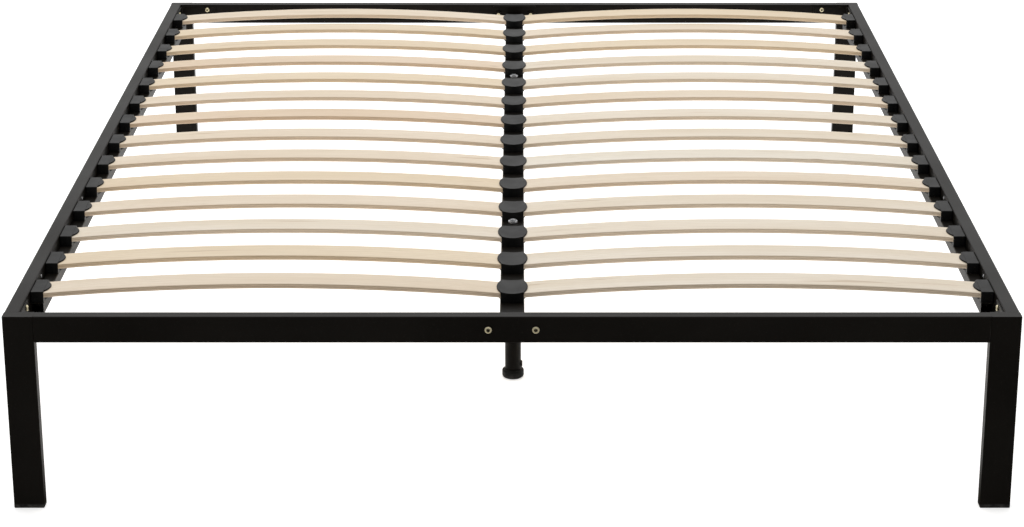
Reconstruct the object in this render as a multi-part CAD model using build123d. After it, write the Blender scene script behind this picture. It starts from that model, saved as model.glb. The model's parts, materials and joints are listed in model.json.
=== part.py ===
from build123d import *
import os
from math import asin, cos, pi, sin

# A metal platform bed frame with two columns of bowed wooden slats.
# All sizes are in millimetres.
# Origin: on the floor, under the middle of the frame.
# +X runs to the right, +Y from the foot end (front) to the head end (rear), +Z is up.

# ---- Driving dimensions -------------------------------------------------------------

# Whole frame
bed_width = 1524.0          # outside of the side rails
bed_length = 2032.0         # outside of the end rails
rail_top = 311.5            # height of the rails and legs above the floor
row_count = 14              # slats in each column
first_row_from_front = 146.0
last_row_from_rear = 128.0

# Rails and corner legs, rectangular steel tube
rail_height = 41.5
rail_depth = 22.0
rail_wall = 1.5
leg_width = 46.5
leg_wall = 1.8
tube_corner_radius = 2.2

# Plastic caps in the bottom of the corner legs
cap_height = 6.0
cap_plug_height = 18.0
cap_plug_wall = 2.0
cap_clearance = 0.15
cap_plug_radius = 1.5
cap_edge_radius = 1.2

# Ledge tubes along the side rails, and the beam down the middle
ledge_size = 20.0
ledge_wall = 1.2
ledge_below_rail_top = 19.5
ledge_beyond_holder = 2.0
beam_width = 37.5
beam_height = 21.5
beam_wall = 1.5

# Bowed slats
slat_width = 54.0
slat_thickness = 8.0
slat_rise = 16.5            # height of the bow over its two ends
slat_edge_radius = 2.6
slat_lift = 5.5             # underside of a slat's end above the ledge
slat_end_gap = 4.0          # between a slat's outer end and the side rail
slat_middle_gap = 6.0       # between the two slats of one row

# Plastic slat holders
slat_clearance = 0.3
holder_wall = 1.7
holder_cover = 4.0          # plastic above the end of a slat
holder_rail_gap = 0.5       # dark gap between a holder and the side rail
holder_edge_radius = 1.4
holder_top_radius = 1.0
lip_reach = 8.0             # a side holder's rounded lip over the slat
lip_inset = 7.0             # a side holder's lip from the corners of the holder
centre_lip_reach = 6.2
centre_lip_inset = 1.5
centre_holder_inset = 0.75  # its sides from the sides of the beam
centre_holder_bow = 2.5     # its front and back stand out in the middle
centre_holder_dip = 2.2     # its top is lower in the middle
lower_lip_share = 0.55      # lower lip's reach as a share of the upper one
lower_lip_inset = 14.0      # its ends from the corners of the holder
lower_lip_gap = 0.5         # between it and the level of the ledge's top
lip_thickness = 5.0         # before the slat's pocket is cut from it
peg_diameter = 8.0
peg_length = 9.0
peg_offset = 16.0           # pegs fore and aft of the holder's middle
peg_clearance = 0.2

# Corner brackets, bent steel angle
bracket_thickness = 2.5
bracket_margin = 3.75       # its edges from the edges of the rail
bracket_side_flange = 65.0
bracket_end_flange = 77.0
bracket_side_bolt = 47.0    # bolt from the corner along the side rail
bracket_end_bolt = 59.0     # bolt from the corner along the end rail
bracket_bolt_spread = 20.0  # between the upper and the lower bolt
bracket_bolt_diameter = 6.0
bracket_bolt_head = 9.5
bracket_bolt_head_height = 3.0
bracket_bolt_length = 14.0
hex_key_size = 4.0

# Plates and bolts at the two ends of the beam
end_plate_width = 95.0
end_plate_margin = 1.75     # its edges from the edges of the rail
end_plate_thickness = 3.0
end_bolt_offset = 35.6
end_bolt_diameter = 8.0
end_bolt_head = 11.0
end_bolt_head_height = 2.4
end_bolt_key = 5.5
nut_size = 13.0
nut_height = 5.0
bolt_past_nut = 1.5
bolt_clearance = 0.2
head_rounding = 0.7         # rim radius as a share of the head's height
socket_depth = 1.4          # hexagon's depth as a share of the head's height

# Centre support legs, under the fourth and the eleventh row
centre_leg_rows = (4, 11)
centre_tube_diameter = 27.5
centre_tube_wall = 1.2
leg_plate_thickness = 3.0
leg_plate_inset = 0.75      # its sides from the sides of the beam
leg_plate_margin = 13.0     # plate past its bolts
leg_bolt_diameter = 8.0
leg_bolt_head = 13.0
leg_bolt_head_height = 4.4
nut_gap = 0.5               # between a nut's corners and the holder beside it

# Sliding feet of the centre legs
foot_travel = 20.0
foot_rim = 5.0              # foot stands out round the tube
foot_height = 15.5
foot_shoulder_radius = 3.5
foot_edge_radius = 5.0
foot_stop_gap = 0.3         # under the tube, with the foot pushed right in
stem_gap = 0.4              # between the stem and the tube it slides in
stem_wall = 1.6
stem_length = 72.0
stem_floor = 4.0            # plastic under the stem
stem_clearance = 0.05
lock_bolt_rise = 8.5        # above the tube's bottom end
lock_bolt_diameter = 6.0
lock_bolt_head = 11.6
lock_bolt_head_height = 2.6
lock_bolt_reach = 6.0       # shank past the tube's inner wall
slot_clearance = 0.4

# Small rivets in the side rails' inner walls
rivet_gaps = (1, 4)         # each in the gap behind this row
rivet_head = 5.0
rivet_head_height = 1.0
rivet_shank = 3.2
rivet_length = 6.0

# ---- Places worked out from the dimensions ------------------------------------------

half_width = bed_width / 2
half_length = bed_length / 2
rail_middle = rail_top - rail_height / 2
side_rail_inside = half_width - rail_depth
end_rail_inside = half_length - rail_depth
leg_inside = half_width - leg_width
ledge_top = rail_top - ledge_below_rail_top
ledge_inside = side_rail_inside - ledge_size
beam_bottom = ledge_top - beam_height

first_row = -half_length + first_row_from_front
last_row = half_length - last_row_from_rear
row_pitch = (last_row - first_row) / (row_count - 1)
rows = [first_row + index * row_pitch for index in range(row_count)]

slat_outer_end = side_rail_inside - slat_end_gap
slat_inner_end = slat_middle_gap / 2
slat_middle = (slat_outer_end + slat_inner_end) / 2
slat_span = slat_outer_end - slat_inner_end
slat_end_top = ledge_top + slat_lift + slat_thickness
slat_crown = slat_end_top + slat_rise
slat_radius = slat_span ** 2 / (8 * slat_rise) + slat_rise / 2

holder_length = slat_width + 2 * (holder_wall + slat_clearance)
holder_height = slat_lift + slat_thickness + holder_cover
holder_top = ledge_top + holder_height
side_holder_outside = side_rail_inside - holder_rail_gap
peg_hole = peg_diameter + 2 * peg_clearance
bracket_bolt_hole = bracket_bolt_diameter + 2 * bolt_clearance
end_bolt_hole = end_bolt_diameter + 2 * bolt_clearance
leg_bolt_hole = leg_bolt_diameter + 2 * bolt_clearance
rivet_hole = rivet_shank + 2 * bolt_clearance
nut_corner = nut_size / 2 / cos(pi / 6)
leg_bolt_offset = holder_length / 2 + centre_holder_bow + nut_gap + nut_corner
stem_diameter = centre_tube_diameter - 2 * (centre_tube_wall + stem_gap)
centre_leg_places = [rows[row - 1] for row in centre_leg_rows]
tube_bottom = foot_height + foot_stop_gap
lock_bolt_height = tube_bottom + lock_bolt_rise
foot_diameter = centre_tube_diameter + 2 * foot_rim
rivet_places = [rows[row - 1] + row_pitch / 2 for row in rivet_gaps]


# ---- Helpers ------------------------------------------------------------------------

def save(name, *solids):
    """Write one sub-part, made of one solid or of several separate ones."""
    shape = solids[0] if len(solids) == 1 else Compound(children=list(solids))
    export_step(shape, os.path.join("parts", name + ".step"))


def block(x_range, y_range, z_range):
    """A box between two values on each axis."""
    size = [high - low for low, high in (x_range, y_range, z_range)]
    middle = [(high + low) / 2 for low, high in (x_range, y_range, z_range)]
    return Pos(*middle) * Box(*size)


def rod(diameter, length, plane, flip=False):
    """A round bar that starts on a plane and runs along its normal."""
    return extrude(plane * Circle(diameter / 2), -length if flip else length)


def rectangle_tube(plane, width, height, wall, half_run):
    """A rectangular tube with rounded corners, centred on a plane and open at its ends."""
    outer = plane * RectangleRounded(width, height, tube_corner_radius)
    inner_radius = max(tube_corner_radius - wall, tube_corner_radius / 4)
    inner = plane * RectangleRounded(width - 2 * wall, height - 2 * wall, inner_radius)
    return extrude(outer - inner, half_run, both=True)


def mirror_x(shape):
    return mirror(shape, about=Plane.YZ)


def mirror_y(shape):
    return mirror(shape, about=Plane.XZ)


def socket_bolt(plane, head, head_height, key, diameter, length):
    """A bolt with a low domed head on a plane, a hexagon socket, and its shank behind it."""
    body = rod(head, head_height, plane)
    rim = body.edges().filter_by(GeomType.CIRCLE).sort_by(Axis(plane.origin, plane.z_dir))[-1:]
    body = fillet(rim, head_height * head_rounding)
    shank = rod(diameter, length, plane, flip=True)
    socket = extrude(plane.offset(head_height) * RegularPolygon(key / 2, 6, major_radius=False),
                     -head_height * socket_depth)
    return body + shank - socket


def hex_nut(plane, hole):
    """A nut whose seat is on a plane."""
    return extrude(plane * (RegularPolygon(nut_size / 2, 6, major_radius=False) - Circle(hole / 2)),
                   nut_height)


# ---- Slats --------------------------------------------------------------------------

def slat(grow=0.0):
    """The right-hand slat of a row at Y = 0, or the room it needs when grown all round."""
    top_radius = slat_radius + grow
    low_radius = slat_radius - slat_thickness - grow
    half_angle = asin(slat_span / 2 / slat_radius) + grow / slat_radius
    centre_height = slat_crown - slat_radius

    def place(radius, angle):
        return (slat_middle + radius * sin(angle), centre_height + radius * cos(angle))

    outline = Sketch() + make_face([
        ThreePointArc(place(top_radius, -half_angle), place(top_radius, 0), place(top_radius, half_angle)),
        Line(place(top_radius, half_angle), place(low_radius, half_angle)),
        ThreePointArc(place(low_radius, half_angle), place(low_radius, 0), place(low_radius, -half_angle)),
        Line(place(low_radius, -half_angle), place(top_radius, -half_angle)),
    ])
    body = extrude(Plane.XZ * outline, slat_width / 2 + grow, both=True)
    if grow:
        return body
    long_edges = body.edges().filter_by(GeomType.CIRCLE)
    return fillet(long_edges, min(slat_edge_radius, slat_thickness * 0.45))


def save_slats():
    right = slat()
    left = mirror_x(right)
    for number, place in enumerate(rows, start=1):
        save(f"slat_left_{number:02d}", Pos(0, place, 0) * left)
        save(f"slat_right_{number:02d}", Pos(0, place, 0) * right)


# ---- Slat holders -------------------------------------------------------------------

def lip(face_x, reach, end_inset, low, high):
    """A rounded lip that stands out of a holder's face towards -X."""
    half_chord = holder_length / 2 - end_inset
    outline = make_face([
        ThreePointArc((face_x, -half_chord), (face_x - reach, 0), (face_x, half_chord)),
        Line((face_x, half_chord), (face_x, -half_chord)),
    ])
    return extrude(Plane.XY.offset(low) * outline, high - low)


def holder_lips(face_x, reach, end_inset):
    """The upper lip over the slat and the lower one under it."""
    slat_underside = ledge_top + slat_lift
    upper = lip(face_x, reach, end_inset, holder_top - lip_thickness, holder_top)
    rim = upper.edges().filter_by(GeomType.CIRCLE).sort_by(Axis.Z)[-1:]
    upper = fillet(rim, holder_edge_radius)
    lower = lip(face_x, reach * lower_lip_share, lower_lip_inset,
                ledge_top + lower_lip_gap, slat_underside + slat_thickness / 2)
    return upper + lower


def pegs(x):
    """The two pegs under a holder, pushed into the tube below."""
    return [rod(peg_diameter, peg_length, Plane((x, offset, ledge_top)), flip=True)
            for offset in (-peg_offset, peg_offset)]


def side_holder():
    """Holder for the outer end of a right-hand slat at Y = 0."""
    middle = (ledge_inside + side_holder_outside) / 2
    outline = RectangleRounded(side_holder_outside - ledge_inside, holder_length, holder_edge_radius)
    body = extrude(Plane((middle, 0, ledge_top)) * outline, holder_height)
    ends = body.faces().sort_by(Axis.Z)[-1].edges().filter_by(Axis.X)
    body = fillet(ends, holder_top_radius)
    return body + pegs(middle) + holder_lips(ledge_inside, lip_reach, lip_inset) - slat(slat_clearance)


def centre_holder():
    """Double holder for the inner ends of one row's two slats at Y = 0."""
    half = beam_width / 2 - centre_holder_inset
    end = holder_length / 2
    outline = make_face([
        ThreePointArc((-half, -end), (0, -end - centre_holder_bow), (half, -end)),
        Line((half, -end), (half, end)),
        ThreePointArc((half, end), (0, end + centre_holder_bow), (-half, end)),
        Line((-half, end), (-half, -end)),
    ])
    body = extrude(Plane.XY.offset(ledge_top) * outline, holder_height)
    body = fillet(body.edges().filter_by(Axis.Z), holder_edge_radius)
    dip_radius = half ** 2 / (2 * centre_holder_dip) + centre_holder_dip / 2
    dip_middle = Plane((0, -holder_length, holder_top - centre_holder_dip + dip_radius), z_dir=(0, 1, 0))
    body -= rod(2 * dip_radius, 2 * holder_length, dip_middle)
    left_lips = holder_lips(-half, centre_lip_reach, centre_lip_inset)
    room = slat(slat_clearance)
    return body + pegs(0) + left_lips + mirror_x(left_lips) - room - mirror_x(room)


def save_holders():
    right = side_holder()
    left = mirror_x(right)
    double = centre_holder()
    save("side_holders_left", *[Pos(0, place, 0) * left for place in rows])
    save("side_holders_right", *[Pos(0, place, 0) * right for place in rows])
    save("centre_holders", *[Pos(0, place, 0) * double for place in rows])


# ---- Steel frame --------------------------------------------------------------------

def bracket_bolt_heights():
    return (rail_middle - bracket_bolt_spread / 2, rail_middle + bracket_bolt_spread / 2)


def side_rail():
    """The right-hand side rail, between the two right-hand legs."""
    plane = Plane((half_width - rail_depth / 2, 0, rail_middle), x_dir=(1, 0, 0), z_dir=(0, -1, 0))
    rail = rectangle_tube(plane, rail_depth, rail_height, rail_wall, end_rail_inside)
    inner_wall = (side_rail_inside - rail_wall, side_rail_inside + 2 * rail_wall)
    reach = inner_wall[1] - inner_wall[0]
    for end in (-1, 1):
        for height in bracket_bolt_heights():
            place = (inner_wall[0], end * (end_rail_inside - bracket_side_bolt), height)
            rail -= rod(bracket_bolt_hole, reach, Plane(place, z_dir=(1, 0, 0)))
    for place in rivet_places:
        start = (inner_wall[0], place, ledge_top + ledge_below_rail_top / 2)
        rail -= rod(rivet_hole, reach, Plane(start, z_dir=(1, 0, 0)))
    return rail


def end_rail():
    """The front rail, between the two front legs."""
    plane = Plane((0, -half_length + rail_depth / 2, rail_middle), x_dir=(0, 1, 0), z_dir=(1, 0, 0))
    rail = rectangle_tube(plane, rail_depth, rail_height, rail_wall, leg_inside)
    for side in (-1, 1):
        front = (side * end_bolt_offset, -half_length - rail_wall, rail_middle)
        rail -= rod(end_bolt_hole, rail_depth + 2 * rail_wall, Plane(front, z_dir=(0, 1, 0)))
        for height in bracket_bolt_heights():
            inner = (side * (side_rail_inside - bracket_end_bolt), -end_rail_inside + rail_wall, height)
            rail -= rod(bracket_bolt_hole, 3 * rail_wall, Plane(inner, z_dir=(0, -1, 0)))
    return rail


def corner_leg():
    """The front right leg, a tube with a welded lid on top."""
    middle = ((leg_inside + half_width) / 2, -half_length + rail_depth / 2)
    height = rail_top - cap_height
    plane = Plane((*middle, cap_height + height / 2))
    tube = rectangle_tube(plane, leg_width, rail_depth, leg_wall, height / 2)
    lid_outline = RectangleRounded(leg_width - leg_wall, rail_depth - leg_wall, tube_corner_radius / 2)
    lid = extrude(Plane((*middle, rail_top)) * lid_outline, -leg_wall)
    leg = tube + lid
    top_edges = leg.faces().sort_by(Axis.Z)[-1].outer_wire().edges()
    return fillet(top_edges, tube_corner_radius / 4)


def leg_cap():
    """The plastic cap under the front right leg, with its hollow plug inside the tube."""
    plane = Plane(((leg_inside + half_width) / 2, -half_length + rail_depth / 2, 0))
    foot = extrude(plane * RectangleRounded(leg_width, rail_depth, tube_corner_radius), cap_height)
    foot = fillet(foot.faces().sort_by(Axis.Z)[0].edges(), cap_edge_radius)
    inset = 2 * (leg_wall + cap_clearance)
    plug_size = (leg_width - inset, rail_depth - inset)
    hollow_size = [side - 2 * cap_plug_wall for side in plug_size]
    plug = RectangleRounded(*plug_size, cap_plug_radius) - Rectangle(*hollow_size)
    return foot + extrude(plane.offset(cap_height) * plug, cap_plug_height)


def ledge():
    """The right-hand ledge tube that carries the side holders."""
    start = first_row - holder_length / 2 - ledge_beyond_holder
    end = last_row + holder_length / 2 + ledge_beyond_holder
    middle = (side_rail_inside - ledge_size / 2, (start + end) / 2, ledge_top - ledge_size / 2)
    plane = Plane(middle, x_dir=(1, 0, 0), z_dir=(0, -1, 0))
    tube = rectangle_tube(plane, ledge_size, ledge_size, ledge_wall, (end - start) / 2)
    peg_middle = (ledge_inside + side_holder_outside) / 2
    return tube - peg_holes(peg_middle, ledge_wall)


def peg_holes(x, wall):
    """Cutters for the holders' pegs through the top wall of a tube."""
    places = [(row + offset) for row in rows for offset in (-peg_offset, peg_offset)]
    return [rod(peg_hole, 4 * wall, Plane((x, place, ledge_top - 2 * wall))) for place in places]


def centre_beam():
    """The beam down the middle, between the plates on the two end rails."""
    plane = Plane((0, 0, ledge_top - beam_height / 2), x_dir=(1, 0, 0), z_dir=(0, -1, 0))
    half_run = end_rail_inside - end_plate_thickness
    beam = rectangle_tube(plane, beam_width, beam_height, beam_wall, half_run) - peg_holes(0, beam_wall)
    for leg in centre_leg_places:
        for offset in (-leg_bolt_offset, leg_bolt_offset):
            low = Plane((0, leg + offset, beam_bottom - beam_wall))
            beam -= rod(leg_bolt_hole, beam_height + 2 * beam_wall, low)
    return beam


def end_plate():
    """The plate between the beam and the front rail."""
    plate = block((-end_plate_width / 2, end_plate_width / 2),
                  (-end_rail_inside, -end_rail_inside + end_plate_thickness),
                  (rail_top - rail_height + end_plate_margin, rail_top - end_plate_margin))
    plate = fillet(plate.edges().filter_by(Axis.Y), end_plate_thickness)
    for side in (-1, 1):
        face = Plane((side * end_bolt_offset, -end_rail_inside, rail_middle), z_dir=(0, 1, 0))
        plate -= rod(end_bolt_hole, end_plate_thickness, face)
    return plate


def corner_bracket():
    """The bent angle in the front right corner."""
    heights = (rail_top - rail_height + bracket_margin, rail_top - bracket_margin)
    corner_x = side_rail_inside
    corner_y = -end_rail_inside
    side_flange = block((corner_x - bracket_thickness, corner_x),
                        (corner_y, corner_y + bracket_side_flange), heights)
    end_flange = block((corner_x - bracket_end_flange, corner_x),
                       (corner_y, corner_y + bracket_thickness), heights)
    bracket = side_flange + end_flange
    inner_bend = bracket.edges().filter_by(Axis.Z).sort_by_distance(
        (corner_x - bracket_thickness, corner_y + bracket_thickness, rail_middle))[:1]
    bracket = fillet(inner_bend, bracket_thickness)
    for height in bracket_bolt_heights():
        side = Plane((corner_x, corner_y + bracket_side_bolt, height), z_dir=(-1, 0, 0))
        end = Plane((corner_x - bracket_end_bolt, corner_y, height), z_dir=(0, 1, 0))
        bracket -= [rod(bracket_bolt_hole, bracket_thickness, face) for face in (side, end)]
    return bracket


def save_frame():
    right_rail = side_rail()
    save("side_rail_right", right_rail)
    save("side_rail_left", mirror_x(right_rail))
    front_rail = end_rail()
    save("front_rail", front_rail)
    save("rear_rail", mirror_y(front_rail))
    leg = corner_leg()
    save("front_right_leg", leg)
    save("front_left_leg", mirror_x(leg))
    save("rear_right_leg", mirror_y(leg))
    save("rear_left_leg", mirror_x(mirror_y(leg)))
    save("leg_caps", *at_four_corners(leg_cap()))
    right_ledge = ledge()
    save("slat_ledge_right", right_ledge)
    save("slat_ledge_left", mirror_x(right_ledge))
    save("centre_beam", centre_beam())
    plate = end_plate()
    save("beam_end_plates", plate, mirror_y(plate))
    save("corner_brackets", *at_four_corners(corner_bracket()))


def at_four_corners(shape):
    return [shape, mirror_x(shape), mirror_y(shape), mirror_x(mirror_y(shape))]


# ---- Fasteners ----------------------------------------------------------------------

def corner_bolts():
    """The four bolts of the front right bracket."""
    bolts = []
    for height in bracket_bolt_heights():
        side = (side_rail_inside - bracket_thickness, -end_rail_inside + bracket_side_bolt, height)
        end = (side_rail_inside - bracket_end_bolt, -end_rail_inside + bracket_thickness, height)
        for seat in (Plane(side, z_dir=(-1, 0, 0)), Plane(end, z_dir=(0, 1, 0))):
            bolts.append(socket_bolt(seat, bracket_bolt_head, bracket_bolt_head_height, hex_key_size,
                                     bracket_bolt_diameter, bracket_bolt_length))
    return bolts


def beam_end_bolt():
    """The right-hand bolt through the front rail and the beam's end plate."""
    seat = Plane((end_bolt_offset, -half_length, rail_middle), z_dir=(0, -1, 0))
    length = rail_depth + end_plate_thickness + nut_height + bolt_past_nut
    return socket_bolt(seat, end_bolt_head, end_bolt_head_height, end_bolt_key, end_bolt_diameter, length)


def beam_end_nut():
    seat = Plane((end_bolt_offset, -end_rail_inside + end_plate_thickness, rail_middle), z_dir=(0, 1, 0))
    return hex_nut(seat, end_bolt_hole)


def rivet(place):
    """A blind rivet in the right side rail's inner wall."""
    seat = Plane((side_rail_inside, place, ledge_top + ledge_below_rail_top / 2), z_dir=(-1, 0, 0))
    head = rod(rivet_head, rivet_head_height, seat)
    rim = head.edges().filter_by(GeomType.CIRCLE).sort_by(Axis(seat.origin, seat.z_dir))[-1:]
    return fillet(rim, rivet_head_height * 0.8) + rod(rivet_shank, rivet_length, seat, flip=True)


def save_fasteners():
    bolts = [copy for bolt in corner_bolts() for copy in at_four_corners(bolt)]
    save("corner_bolts", *bolts)
    save("beam_end_bolts", *at_four_corners(beam_end_bolt()))
    save("beam_end_nuts", *at_four_corners(beam_end_nut()))
    rivets = [rivet(place) for place in rivet_places]
    save("rail_rivets", *rivets, *[mirror_x(item) for item in rivets])


# ---- Centre support legs ------------------------------------------------------------

def leg_plate():
    """The plate on top of a centre leg, under the beam, at Y = 0."""
    half_run = leg_bolt_offset + leg_plate_margin
    half_plate = beam_width / 2 - leg_plate_inset
    low = beam_bottom - leg_plate_thickness
    plate = block((-half_plate, half_plate), (-half_run, half_run), (low, beam_bottom))
    plate = fillet(plate.edges().filter_by(Axis.Z), leg_plate_thickness)
    for offset in (-leg_bolt_offset, leg_bolt_offset):
        plate -= rod(leg_bolt_hole, leg_plate_thickness, Plane((0, offset, low)))
    return plate


def leg_tube():
    """A centre leg's round tube at Y = 0, with the lock bolt's hole on its right."""
    length = beam_bottom - leg_plate_thickness - tube_bottom
    ring = Circle(centre_tube_diameter / 2) - Circle(centre_tube_diameter / 2 - centre_tube_wall)
    tube = extrude(Plane.XY.offset(tube_bottom) * ring, length)
    hole = Plane((0, 0, lock_bolt_height), z_dir=(1, 0, 0))
    return tube - rod(lock_bolt_diameter + 2 * bolt_clearance, centre_tube_diameter, hole)


def lock_bolt():
    """The button-headed bolt that clamps a sliding foot, at Y = 0."""
    seat = Plane((centre_tube_diameter / 2, 0, lock_bolt_height), z_dir=(1, 0, 0))
    length = centre_tube_wall + lock_bolt_reach
    return socket_bolt(seat, lock_bolt_head, lock_bolt_head_height, hex_key_size, lock_bolt_diameter, length)


def leg_bolts():
    """The two bolts up through a leg's plate and the beam, at Y = 0."""
    length = beam_height + leg_plate_thickness + nut_height + bolt_past_nut
    low = beam_bottom - leg_plate_thickness
    seats = [Plane((0, offset, low), z_dir=(0, 0, -1)) for offset in (-leg_bolt_offset, leg_bolt_offset)]
    return [socket_bolt(seat, leg_bolt_head, leg_bolt_head_height, end_bolt_key, leg_bolt_diameter, length)
            for seat in seats]


def leg_nuts():
    """The two nuts on top of the beam, at Y = 0."""
    seats = [Plane((0, offset, ledge_top)) for offset in (-leg_bolt_offset, leg_bolt_offset)]
    return [hex_nut(seat, leg_bolt_hole) for seat in seats]


def foot_pad():
    """The rounded plastic foot at Y = 0, with a socket for its stem."""
    pad = rod(foot_diameter, foot_height, Plane.XY)
    rims = pad.edges().filter_by(GeomType.CIRCLE).sort_by(Axis.Z)
    pad = fillet(rims[:1], foot_edge_radius)
    rims = pad.edges().filter_by(GeomType.CIRCLE).sort_by(Axis.Z)
    pad = fillet(rims[-1:], foot_shoulder_radius)
    return pad - rod(stem_diameter + 2 * stem_clearance, foot_height, Plane.XY.offset(stem_floor))


def foot_stem():
    """The steel stem that slides in a leg's tube, with a slot for the lock bolt."""
    ring = Circle(stem_diameter / 2) - Circle(stem_diameter / 2 - stem_wall)
    stem = extrude(Plane.XY.offset(stem_floor) * ring, stem_length)
    slot_middle = lock_bolt_height + foot_travel / 2
    slot_width = lock_bolt_diameter + 2 * slot_clearance
    side = Plane((0, 0, slot_middle), x_dir=(0, 0, 1), z_dir=(1, 0, 0))
    return stem - extrude(side * SlotCenterToCenter(foot_travel, slot_width), stem_diameter)


def save_centre_legs():
    tube = leg_tube()
    pad = foot_pad()
    stem = foot_stem()
    for name, place in zip(("front", "rear"), centre_leg_places):
        save(f"centre_leg_tube_{name}", Pos(0, place, 0) * tube)
        save(f"centre_foot_pad_{name}", Pos(0, place, 0) * pad)
        save(f"centre_foot_stem_{name}", Pos(0, place, 0) * stem)
    shifts = [Pos(0, place, 0) for place in centre_leg_places]
    save("centre_leg_plates", *[shift * leg_plate() for shift in shifts])
    save("centre_leg_bolts", *[shift * bolt for shift in shifts for bolt in leg_bolts()])
    save("centre_leg_nuts", *[shift * nut for shift in shifts for nut in leg_nuts()])
    save("foot_lock_bolts", *[shift * lock_bolt() for shift in shifts])


os.makedirs("parts", exist_ok=True)
save_slats()
save_holders()
save_frame()
save_fasteners()
save_centre_legs()
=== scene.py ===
import bpy
import json
import math
import random
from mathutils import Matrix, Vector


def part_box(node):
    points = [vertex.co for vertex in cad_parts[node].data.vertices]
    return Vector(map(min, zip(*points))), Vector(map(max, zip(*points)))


# Looks of a metal platform bed frame: black powder-coated steel, bowed birch slats,
# moulded plastic holders and plated bolts. Everything is in metres, in the CAD model's frame.

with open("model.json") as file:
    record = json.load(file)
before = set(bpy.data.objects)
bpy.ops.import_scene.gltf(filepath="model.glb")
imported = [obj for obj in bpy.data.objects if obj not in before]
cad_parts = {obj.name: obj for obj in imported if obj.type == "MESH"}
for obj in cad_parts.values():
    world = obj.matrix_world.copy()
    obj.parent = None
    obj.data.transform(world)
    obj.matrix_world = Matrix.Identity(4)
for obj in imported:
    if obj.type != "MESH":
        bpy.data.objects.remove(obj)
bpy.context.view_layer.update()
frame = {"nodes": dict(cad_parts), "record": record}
nodes = frame["nodes"]

SLAT_THICKNESS = 0.008
PLY_COUNT = 6
NOISE_LOW = 0.3             # most of a noise's values lie between these two
NOISE_HIGH = 0.7
EDGE_TURN = 0.02            # wear begins where 1 - cos of the bevelled normal's turn is this
EDGE_TURN_FULL = 0.20       # and is complete where it is this

# One letter for each row's slat, from the front row to the rear one.
TONES_LEFT = "CHPCHCCRCHRHHC"
TONES_RIGHT = "PPPPCWPPCPPHCH"
WOOD_TONES = {
    "W": (0.805, 0.755, 0.665),
    "P": (0.795, 0.720, 0.612),
    "C": (0.785, 0.685, 0.560),
    "H": (0.775, 0.660, 0.500),
    "R": (0.760, 0.625, 0.485),
}
WOOD_STREAK = (0.46, 0.31, 0.18)
WOOD_KNOT = (0.30, 0.17, 0.085)
WOOD_GLUE = (0.24, 0.15, 0.08)

COAT_DARK = (0.0048, 0.0038, 0.0027)
COAT_PALE = (0.0078, 0.0064, 0.0048)
COAT_SPECK = (0.018, 0.016, 0.013)
COAT_WORN = (0.060, 0.057, 0.054)
PLASTIC_WORN = (0.07, 0.068, 0.064)
FOOT_DUST = (0.16, 0.15, 0.135)
DUST_HEIGHT = 0.012         # above the floor
# Colour of the painted shade that ambient occlusion lays into sockets and spots close to a wall
SOCKET_PAINTED_SHADE = (0.008, 0.006, 0.004)
SOCKET_SHADE_REACH = 0.004        # how near a wall has to be to darken a socket with painted shade

FLOOR_SIZE = 60.0
FLOOR_GLOW = 0.60
# Painted dark reflection: the floor shows this colour to glossy rays only, in front of the bed
FLOOR_DARK = (0.11, 0.10, 0.085)
FLOOR_DARK_FROM = -0.40     # Y where its painted dark reflection begins, and where it is complete
FLOOR_DARK_TO = -0.62
FLOOR_DARK_SIDEWAYS = 0.5   # the patch begins this share of |X| further forward

DOME_COLOUR = (1.0, 0.995, 0.985, 1.0)
DOME_LEAN = 0.55            # how far its bright side leans to the rear
DOME_LEVELS = (-0.35, 0.75, 0.13, 0.68)     # from and to of the direction, then of the strength
BAND_LEVELS = (0.55, 0.92, 0.0, 0.50)       # the same for the bright band behind the bed

SOFTBOX_SIZE = (4.0, 3.0)
SOFTBOX_POWER = 58.0
SOFTBOX_PLACE = (-0.2, 0.6, 3.4)
SOFTBOX_TILT = (math.radians(-8.0), math.radians(-4.0), 0.0)

CAMERA_PLACE = (0.0115, -4.690, 1.658)
CAMERA_PITCH = math.radians(18.96)
CAMERA_LENS = 92.2
CAMERA_SHIFT_X = -0.0075


# ---- Material graphs ------------------------------------------------------------------

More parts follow.
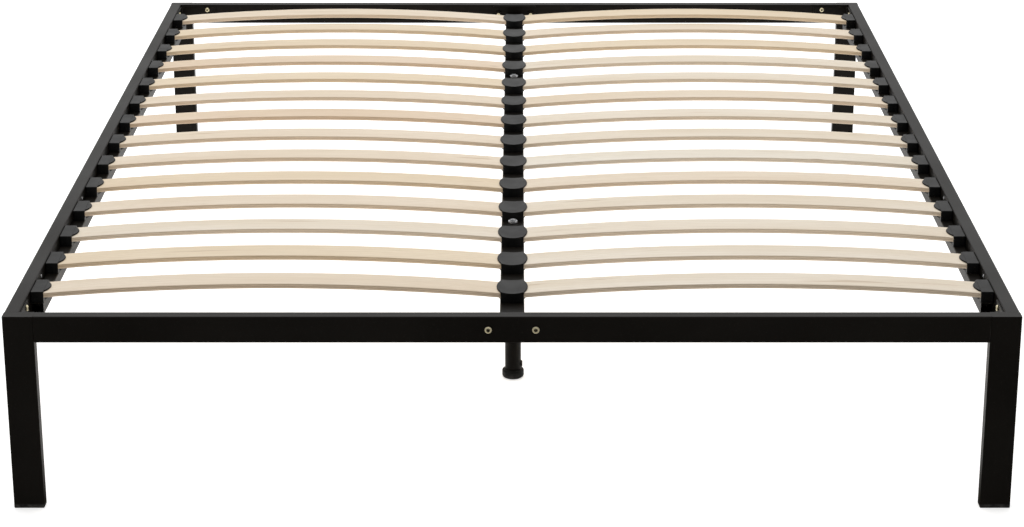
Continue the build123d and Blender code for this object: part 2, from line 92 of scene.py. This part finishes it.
class Graph:
    """A material's node tree, with short calls for the nodes that the materials share."""

    def __init__(self, name):
        self.material = bpy.data.materials.new(name)
        self.material.use_nodes = True
        self.tree = self.material.node_tree
        self.shader = self.tree.nodes["Principled BSDF"]
        self.coords = self.add("ShaderNodeTexCoord").outputs["Object"]

    def add(self, kind, **settings):
        node = self.tree.nodes.new(kind)
        for key, value in settings.items():
            setattr(node, key, value)
        return node

    def put(self, value, socket):
        """Link an output to a socket, or set a plain value on it."""
        if isinstance(value, bpy.types.NodeSocket):
            self.tree.links.new(value, socket)
        elif isinstance(value, tuple) and len(value) == 3 and socket.type == "RGBA":
            socket.default_value = (*value, 1.0)
        else:
            socket.default_value = value

    def stretched(self, scale, offset=(0.0, 0.0, 0.0)):
        node = self.add("ShaderNodeMapping")
        self.put(self.coords, node.inputs["Vector"])
        self.put(scale, node.inputs["Scale"])
        self.put(offset, node.inputs["Location"])
        return node.outputs["Vector"]

    def noise(self, coords, scale=1.0, detail=3.0, roughness=0.5, distortion=0.0):
        node = self.add("ShaderNodeTexNoise")
        self.put(coords, node.inputs["Vector"])
        self.put(scale, node.inputs["Scale"])
        self.put(detail, node.inputs["Detail"])
        self.put(roughness, node.inputs["Roughness"])
        self.put(distortion, node.inputs["Distortion"])
        return node.outputs["Fac"]

    def spread(self, value, low, high, to_low=0.0, to_high=1.0):
        """Map a value from one range to another, clamped."""
        node = self.add("ShaderNodeMapRange")
        for number, name in ((low, "From Min"), (high, "From Max"), (to_low, "To Min"), (to_high, "To Max")):
            self.put(number, node.inputs[name])
        self.put(value, node.inputs["Value"])
        return node.outputs["Result"]

    def math(self, operation, first, second=0.0):
        node = self.add("ShaderNodeMath", operation=operation)
        self.put(first, node.inputs[0])
        self.put(second, node.inputs[1])
        return node.outputs[0]

    def mix(self, factor, first, second):
        node = self.add("ShaderNodeMix", data_type="RGBA")
        sockets = {socket.identifier: socket for socket in node.inputs}
        self.put(factor, sockets["Factor_Float"])
        self.put(first, sockets["A_Color"])
        self.put(second, sockets["B_Color"])
        return next(socket for socket in node.outputs if socket.identifier == "Result_Color")

    def bump(self, height, distance, strength, under=None):
        node = self.add("ShaderNodeBump")
        self.put(height, node.inputs["Height"])
        self.put(distance, node.inputs["Distance"])
        self.put(strength, node.inputs["Strength"])
        if under:
            self.put(under, node.inputs["Normal"])
        return node.outputs["Normal"]

    def edges(self, radius):
        """A mask that is 1 along sharp edges."""
        bevel = self.add("ShaderNodeBevel", samples=4)
        self.put(radius, bevel.inputs["Radius"])
        flat = self.add("ShaderNodeNewGeometry").outputs["Normal"]
        product = self.add("ShaderNodeVectorMath", operation="DOT_PRODUCT")
        self.put(bevel.outputs["Normal"], product.inputs[0])
        self.put(flat, product.inputs[1])
        turned = self.math("SUBTRACT", 1.0, product.outputs["Value"])
        return self.spread(turned, EDGE_TURN, EDGE_TURN_FULL)

    def finish(self, colour, roughness, normal=None, **constants):
        self.put(colour, self.shader.inputs["Base Color"])
        self.put(roughness, self.shader.inputs["Roughness"])
        if normal:
            self.put(normal, self.shader.inputs["Normal"])
        for name, value in constants.items():
            self.put(value, self.shader.inputs[name.replace("_", " ")])
        return self.material


def powder_coat():
    """Black powder coat: fine orange peel, slight cloudiness, thin paler wear along the edges."""
    g = Graph("powder_coat")
    clouds = g.noise(g.coords, scale=5.0, detail=4.0)
    specks = g.noise(g.coords, scale=420.0, detail=2.0)
    peel = g.noise(g.coords, scale=650.0, detail=3.0)
    grain = g.noise(g.coords, scale=1900.0, detail=2.0)
    base = g.mix(g.spread(clouds, NOISE_LOW, NOISE_HIGH), COAT_DARK, COAT_PALE)
    base = g.mix(g.spread(specks, 0.62, 0.75, 0.0, 0.5), base, COAT_SPECK)
    edges = g.edges(0.0012)
    patches = g.spread(g.noise(g.coords, scale=55.0, detail=5.0), 0.45, 0.62)
    rubbed = g.math("MULTIPLY", edges, patches)
    base = g.mix(g.math("MULTIPLY", rubbed, 0.55), base, COAT_WORN)
    roughness = g.spread(clouds, NOISE_LOW, NOISE_HIGH, 0.40, 0.48)
    normal = g.bump(peel, 0.00012, 0.5, under=g.bump(grain, 0.00004, 0.5))
    return g.finish(base, roughness, normal, Specular_IOR_Level=0.10)


def moulded_plastic(name, tone, shine, dusty=0.0):
    """Black moulded plastic with a spark-eroded texture, paler along worn edges."""
    g = Graph(name)
    clouds = g.noise(g.coords, scale=30.0, detail=3.0)
    texture = g.noise(g.coords, scale=1500.0, detail=2.0)
    base = g.mix(g.spread(clouds, NOISE_LOW, NOISE_HIGH), (tone * 0.85,) * 3, (tone * 1.2,) * 3)
    worn = g.math("MULTIPLY", g.edges(0.0009), g.spread(g.noise(g.coords, scale=90.0), 0.4, 0.6, 0.0, 0.5))
    base = g.mix(worn, base, PLASTIC_WORN)
    if dusty:
        height = g.add("ShaderNodeSeparateXYZ")
        g.put(g.coords, height.inputs[0])
        low = g.spread(height.outputs["Z"], DUST_HEIGHT, 0.0, 0.0, dusty)
        patchy = g.math("MULTIPLY", low, g.spread(g.noise(g.coords, scale=160.0, detail=5.0), 0.35, 0.65))
        base = g.mix(patchy, base, FOOT_DUST)
    roughness = g.spread(clouds, NOISE_LOW, NOISE_HIGH, shine - 0.04, shine + 0.05)
    return g.finish(base, roughness, g.bump(texture, 0.00006, 0.6), Specular_IOR_Level=0.11)


def plated_steel(name, pale, deep, tarnish):
    """Zinc-plated steel: fine random brushing, cloudy passivation, dull spots and painted shade in sockets.
    """
    g = Graph(name)
    clouds = g.noise(g.coords, scale=120.0, detail=4.0, distortion=0.6)
    brushed = g.noise(g.stretched((2400.0, 260.0, 2400.0)), detail=2.0)
    spots = g.noise(g.coords, scale=480.0, detail=5.0)
    base = g.mix(g.spread(clouds, 0.35, 0.65), pale, deep)
    base = g.mix(g.spread(spots, 0.60, 0.72, 0.0, 0.55), base, tarnish)
    # Painted shade: ambient occlusion darkens sockets and spots close to a wall
    socket_painted_shade = g.add("ShaderNodeAmbientOcclusion", samples=8)
    g.put(SOCKET_SHADE_REACH, socket_painted_shade.inputs["Distance"])
    base = g.mix(g.spread(socket_painted_shade.outputs["AO"], 0.85, 0.50), base, SOCKET_PAINTED_SHADE)
    uneven = g.math("ADD", g.math("MULTIPLY", brushed, 0.6), g.math("MULTIPLY", clouds, 0.4))
    roughness = g.spread(uneven, 0.35, 0.65, 0.20, 0.38)
    return g.finish(base, roughness, g.bump(brushed, 0.00002, 0.5), Metallic=0.55)


def birch(name, tone, slat_name, seed):
    """A birch slat: fibres along it, faint figure, pores, flecks, small knots and plies on its edges."""
    g = Graph(name)
    chance = random.Random(seed)
    low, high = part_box(slat_name)
    half_span = (high.x - low.x) / 2
    rise = (high.z - low.z) - SLAT_THICKNESS
    bow_radius = half_span ** 2 / (2 * rise) + rise / 2
    bow_centre = ((high.x + low.x) / 2, high.z - bow_radius)
    shift = tuple(chance.uniform(-40.0, 40.0) for _ in range(3))

    broad = g.noise(g.stretched((2.2, 16.0, 16.0), shift), detail=3.0)
    fibres = g.noise(g.stretched((9.0, 620.0, 620.0), shift), detail=4.0, roughness=0.6)
    pores = g.noise(g.stretched((55.0, 1500.0, 1500.0), shift), detail=2.0)
    bent = g.noise(g.stretched((3.0, 9.0, 9.0), shift), detail=2.0)
    figure = g.add("ShaderNodeTexWave", bands_direction="Y", wave_profile="SIN")
    g.put(g.stretched((1.6, 34.0, 34.0), shift), figure.inputs["Vector"])
    g.put(1.0, figure.inputs["Scale"])
    g.put(chance.uniform(6.0, 14.0), figure.inputs["Distortion"])
    g.put(2.0, figure.inputs["Detail"])
    g.put(0.7, figure.inputs["Detail Scale"])

    pale = tuple(min(part * 1.05, 0.9) for part in tone)
    deep = (tone[0] * 0.93, tone[1] * 0.88, tone[2] * 0.80)
    base = g.mix(g.spread(broad, NOISE_LOW, NOISE_HIGH), pale, deep)
    base = g.mix(g.spread(figure.outputs["Fac"], 0.15, 0.85, 0.0, 0.35), base, deep)
    base = g.mix(g.spread(fibres, 0.42, 0.70, 0.0, 0.42), base, tuple(part * 0.84 for part in deep))
    base = g.mix(g.spread(pores, 0.62, 0.72, 0.0, 0.35), base, tuple(part * 0.70 for part in deep))
    streaks = g.spread(g.noise(g.stretched((3.5, 70.0, 70.0), shift), detail=4.0), 0.66, 0.74, 0.0, 0.5)
    base = g.mix(streaks, base, WOOD_STREAK)

    cells = g.add("ShaderNodeTexVoronoi", feature="F1")
    g.put(g.stretched((5.5, 17.0, 17.0), shift), cells.inputs["Vector"])
    g.put(1.0, cells.inputs["Scale"])
    kept = g.add("ShaderNodeSeparateColor")
    g.put(cells.outputs["Color"], kept.inputs[0])
    chosen = g.spread(kept.outputs["Red"], 0.80, 0.82)
    knots = g.math("MULTIPLY", g.spread(cells.outputs["Distance"], 0.085, 0.030), chosen)
    base = g.mix(g.math("MULTIPLY", knots, 0.75), base, WOOD_KNOT)

    place = g.add("ShaderNodeSeparateXYZ")
    g.put(g.coords, place.inputs[0])
    across = g.math("SUBTRACT", place.outputs["X"], bow_centre[0])
    above = g.math("SUBTRACT", place.outputs["Z"], bow_centre[1])
    squares = [g.math("MULTIPLY", part, part) for part in (across, above)]
    out = g.math("SQRT", g.math("ADD", *squares))
    depth = g.math("DIVIDE", g.math("SUBTRACT", bow_radius, out), SLAT_THICKNESS / PLY_COUNT)
    within_ply = g.math("FRACT", depth)
    glue = g.math("MAXIMUM", g.spread(within_ply, 0.10, 0.0), g.spread(within_ply, 0.90, 1.0))
    odd_ply = g.spread(g.math("PINGPONG", depth, 1.0), 0.45, 0.55)
    facing = g.add("ShaderNodeSeparateXYZ")
    g.put(g.add("ShaderNodeNewGeometry").outputs["Normal"], facing.inputs[0])
    on_side = g.spread(g.math("ABSOLUTE", facing.outputs["Y"]), 0.55, 0.85)
    side_tone = g.mix(odd_ply, (tone[0] * 1.04, tone[1] * 0.95, tone[2] * 0.86),
                      (deep[0] * 0.80, deep[1] * 0.72, deep[2] * 0.64))
    side_tone = g.mix(g.math("MULTIPLY", glue, 0.6), side_tone, WOOD_GLUE)
    side_tone = g.mix(g.spread(fibres, 0.4, 0.7, 0.0, 0.4), side_tone, tuple(part * 0.6 for part in deep))
    base = g.mix(on_side, base, side_tone)

    roughness = g.spread(fibres, NOISE_LOW, NOISE_HIGH, 0.46, 0.62)
    normal = g.bump(fibres, 0.00010, 0.5, under=g.bump(bent, 0.0012, 0.25))
    return g.finish(base, roughness, normal, Specular_IOR_Level=0.35, Coat_Weight=0.06, Coat_Roughness=0.35)


def dress(name, material):
    """Give a CAD node its material."""
    slots = nodes[name].data.materials
    slots.clear()
    slots.append(material)


def dress_frame():
    steel = powder_coat()
    holder = moulded_plastic("holder_plastic", 0.007, 0.42)
    foot = moulded_plastic("foot_plastic", 0.006, 0.46, dusty=0.30)
    zinc = plated_steel("bright_zinc", (0.80, 0.81, 0.83), (0.62, 0.63, 0.66), (0.30, 0.30, 0.31))
    yellow = plated_steel("yellow_zinc", (0.86, 0.77, 0.50), (0.70, 0.63, 0.43), (0.34, 0.28, 0.18))
    black = plated_steel("black_bolt", (0.030, 0.029, 0.028), (0.020, 0.020, 0.021), (0.060, 0.052, 0.045))
    by_slot = {"frame_steel": steel, "holder_plastic": holder, "foot_plastic": foot,
               "bright_zinc": zinc, "yellow_zinc": yellow, "black_bolt": black}
    for part in frame["record"]["subparts"]:
        if part["material_slot"] in by_slot:
            dress(part["node"], by_slot[part["material_slot"]])


def dress_slats():
    for side, tones in (("left", TONES_LEFT), ("right", TONES_RIGHT)):
        for number, letter in enumerate(tones, start=1):
            name = f"slat_{side}_{number:02d}"
            seed = number + (100 if side == "right" else 0)
            dress(name, birch(f"birch_{side}_{number:02d}", WOOD_TONES[letter], name, seed))


# ---- Stage ----------------------------------------------------------------------------

def build_floor():
    half = FLOOR_SIZE / 2
    corners = [(-half, -half, 0), (half, -half, 0), (half, half, 0), (-half, half, 0)]
    mesh = bpy.data.meshes.new("floor")
    mesh.from_pydata(corners, [], [(0, 1, 2, 3)])
    floor = bpy.data.objects.new("floor", mesh)
    bpy.context.scene.collection.objects.link(floor)
    g = Graph("studio_floor")
    mottle = g.noise(g.coords, scale=1.3, detail=4.0)
    colour = g.mix(g.spread(mottle, NOISE_LOW, NOISE_HIGH), (0.90,) * 3, (0.93,) * 3)
    g.finish(colour, 0.8, Specular_IOR_Level=0.1)
    g.put(colour, g.shader.inputs["Emission Color"])
    g.put(FLOOR_GLOW, g.shader.inputs["Emission Strength"])
    # In front of the bed the floor is dark in glossy reflections only, so that the front faces stay black.
    dim = g.add("ShaderNodeBsdfDiffuse")
    g.put(FLOOR_DARK, dim.inputs["Color"])
    rays = g.add("ShaderNodeLightPath")
    place = g.add("ShaderNodeSeparateXYZ")
    g.put(g.coords, place.inputs[0])
    sideways = g.math("MULTIPLY", g.math("ABSOLUTE", place.outputs["X"]), FLOOR_DARK_SIDEWAYS)
    forward = g.math("ADD", place.outputs["Y"], sideways)
    in_front = g.spread(forward, FLOOR_DARK_FROM, FLOOR_DARK_TO)
    choice = g.add("ShaderNodeMixShader")
    g.put(g.math("MULTIPLY", rays.outputs["Is Glossy Ray"], in_front), choice.inputs[0])
    g.put(g.shader.outputs[0], choice.inputs[1])
    g.put(dim.outputs[0], choice.inputs[2])
    g.put(choice.outputs[0], g.tree.nodes["Material Output"].inputs["Surface"])
    mesh.materials.append(g.material)


def smooth_ramp(tree, value, levels):
    """Map a value to a strength with soft ends. The levels are two from values and two to values."""
    node = tree.nodes.new("ShaderNodeMapRange")
    node.interpolation_type = "SMOOTHSTEP"
    for name, level in zip(("From Min", "From Max", "To Min", "To Max"), levels):
        node.inputs[name].default_value = level
    tree.links.new(value, node.inputs["Value"])
    return node.outputs["Result"]


def build_light():
    """A softbox overhead, and a studio dome that is bright above and behind the bed and dimmer in front."""
    world = bpy.data.worlds.new("studio")
    bpy.context.scene.world = world
    world.use_nodes = True
    tree = world.node_tree
    background = tree.nodes["Background"]
    coords = tree.nodes.new("ShaderNodeTexCoord")
    turn = tree.nodes.new("ShaderNodeSeparateXYZ")
    tree.links.new(coords.outputs["Generated"], turn.inputs[0])
    lean = tree.nodes.new("ShaderNodeMath")
    lean.operation = "MULTIPLY_ADD"
    lean.inputs[1].default_value = DOME_LEAN
    tree.links.new(turn.outputs["Y"], lean.inputs[0])
    tree.links.new(turn.outputs["Z"], lean.inputs[2])
    dome = smooth_ramp(tree, lean.outputs[0], DOME_LEVELS)
    band = smooth_ramp(tree, turn.outputs["Y"], BAND_LEVELS)
    total = tree.nodes.new("ShaderNodeMath")
    tree.links.new(dome, total.inputs[0])
    tree.links.new(band, total.inputs[1])
    tree.links.new(total.outputs[0], background.inputs["Strength"])
    background.inputs["Color"].default_value = DOME_COLOUR

    key = bpy.data.lights.new("softbox", "AREA")
    key.shape = "RECTANGLE"
    key.size, key.size_y = SOFTBOX_SIZE
    key.energy = SOFTBOX_POWER
    lamp = bpy.data.objects.new("softbox", key)
    lamp.location = SOFTBOX_PLACE
    lamp.rotation_euler = SOFTBOX_TILT
    bpy.context.scene.collection.objects.link(lamp)


def build_camera():
    data = bpy.data.cameras.new("camera")
    data.lens = CAMERA_LENS
    data.sensor_width = 36.0
    data.shift_x = CAMERA_SHIFT_X
    camera = bpy.data.objects.new("camera", data)
    camera.location = CAMERA_PLACE
    camera.rotation_euler = (math.pi / 2 - CAMERA_PITCH, 0.0, 0.0)
    bpy.context.scene.collection.objects.link(camera)
    bpy.context.scene.camera = camera


dress_frame()
dress_slats()
build_floor()
build_light()
build_camera()
bpy.context.scene.view_settings.view_transform = "Standard"
